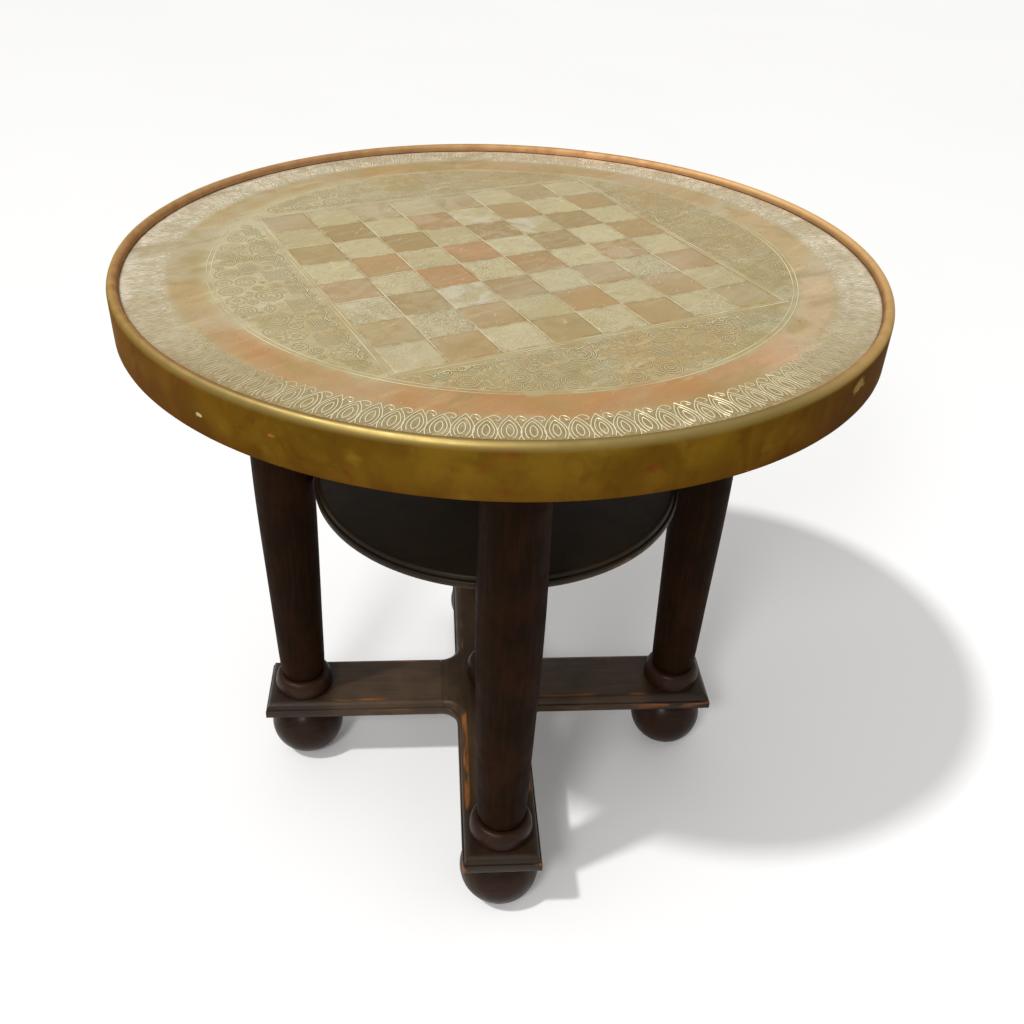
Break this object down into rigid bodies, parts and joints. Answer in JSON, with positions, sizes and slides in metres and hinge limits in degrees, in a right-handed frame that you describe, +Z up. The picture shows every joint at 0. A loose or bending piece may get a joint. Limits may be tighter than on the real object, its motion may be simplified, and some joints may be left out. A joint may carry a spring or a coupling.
{
  "type": "brass tray table",
  "caption": "Round table: engraved brass plate with a rolled rim and deep band, turned wooden legs, round undershelf and a moulded cross stretcher on bun feet.",
  "frame": {"origin": "on the floor, under the centre of the round top", "axes": "+Z up; the four legs stand on the X and Y axes, the front leg on -Y"},
  "size_m": [0.671, 0.671, 0.611],
  "materials": {
    "plate_brass": "engraved, worn and hazy, silvery over brass with a copper-toned ring",
    "band_brass": "satin with brown tarnish, rim rubbed bright",
    "wire": "plain drawn wire",
    "dark_wood": "dark stained, satin polish, arrises rubbed to orange brown",
    "shelf_wood": "dark stained, satin polish, edge rubbed",
    "raw_wood": "unpolished, stained thin",
    "screw_steel": "dull, lightly browned"
  },
  "bodies": {
    "root": {"tray_plate": "plate_brass", "apron_band": "band_brass", "rim_wire": "wire", "top_board": "raw_wood", "top_bearer_side_to_side": "raw_wood", "top_bearer_front_to_back": "raw_wood", "bearer_screw_1": "screw_steel", "bearer_screw_2": "screw_steel", "bearer_screw_3": "screw_steel", "bearer_screw_4": "screw_steel", "bearer_screw_5": "screw_steel", "bearer_screw_6": "screw_steel", "bearer_screw_7": "screw_steel", "bearer_screw_8": "screw_steel", "stretcher_front_to_back": "dark_wood", "stretcher_side_to_side": "dark_wood", "centre_boss": "dark_wood", "boss_screw": "screw_steel", "shelf": "shelf_wood", "leg_right": "dark_wood", "leg_back": "dark_wood", "leg_left": "dark_wood", "leg_front": "dark_wood", "leg_collar_right": "dark_wood", "leg_collar_back": "dark_wood", "leg_collar_left": "dark_wood", "leg_collar_front": "dark_wood", "bun_foot_right": "dark_wood", "bun_foot_back": "dark_wood", "bun_foot_left": "dark_wood", "bun_foot_front": "dark_wood", "shelf_dowel_right": "raw_wood", "shelf_dowel_back": "raw_wood", "shelf_dowel_left": "raw_wood", "shelf_dowel_front": "raw_wood"}
  },
  "joints": []
}
